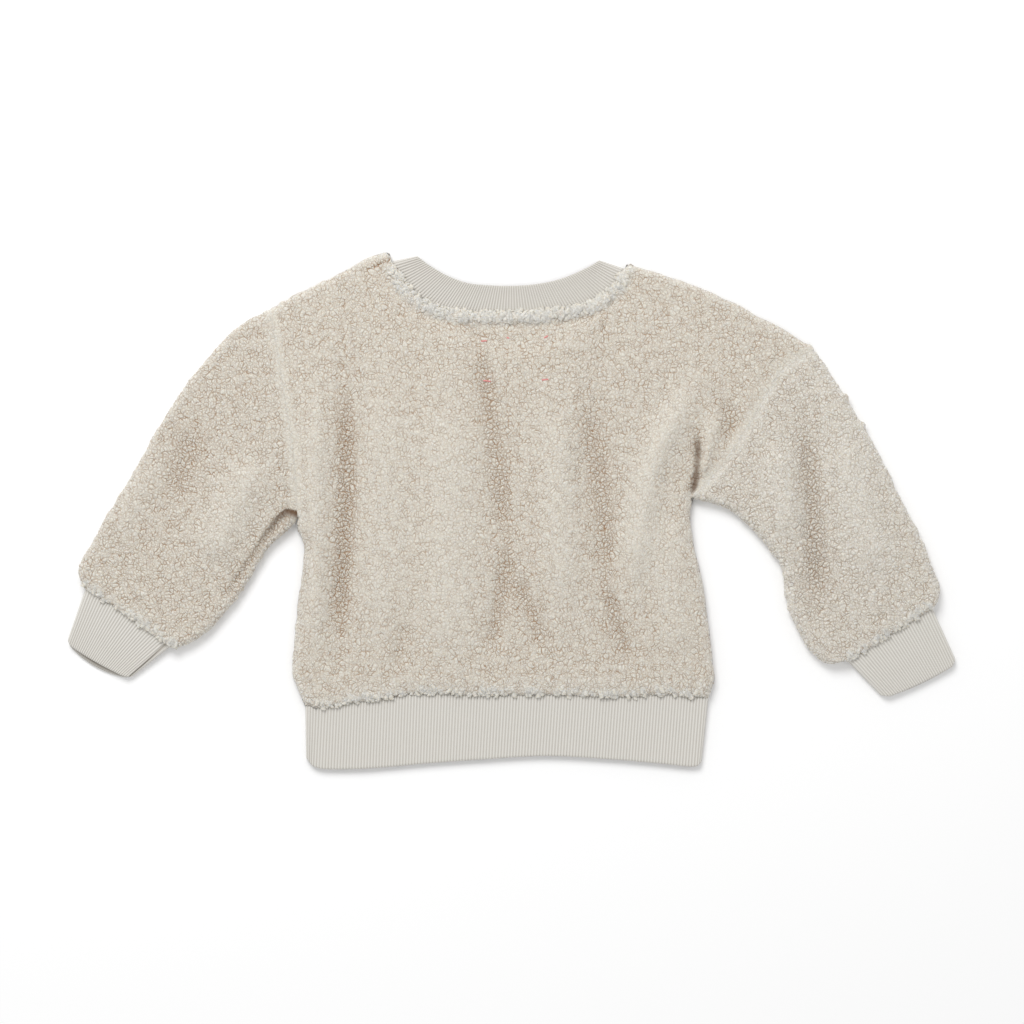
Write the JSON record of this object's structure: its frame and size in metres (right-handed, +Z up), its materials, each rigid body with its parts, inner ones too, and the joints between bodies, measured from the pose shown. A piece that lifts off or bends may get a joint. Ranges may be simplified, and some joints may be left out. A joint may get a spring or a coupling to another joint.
{
  "type": "baby sweatshirt",
  "caption": "Sherpa fleece pullover sweatshirt laid flat with its back up, with dropped shoulders, long sleeves and a rib knit neckband, cuffs and hem band.",
  "frame": {"origin": "under the middle of the garment's box, on the surface that it lies on", "axes": "+X along the span from cuff to cuff, +Y from the hem to the neck, +Z up from the surface, out of the back"},
  "size_m": [0.625, 0.3611, 0.0146],
  "materials": {
    "sherpa": "cream sherpa fleece, curled pile",
    "rib_knit": "cream rib knit, matt"
  },
  "bodies": {
    "root": {"back_panel": "sherpa", "front_panel": "sherpa", "sleeve_left": "sherpa", "sleeve_right": "sherpa", "neckband": "rib_knit", "hem_band": "rib_knit", "cuff_left": "rib_knit", "cuff_right": "rib_knit"}
  },
  "joints": []
}
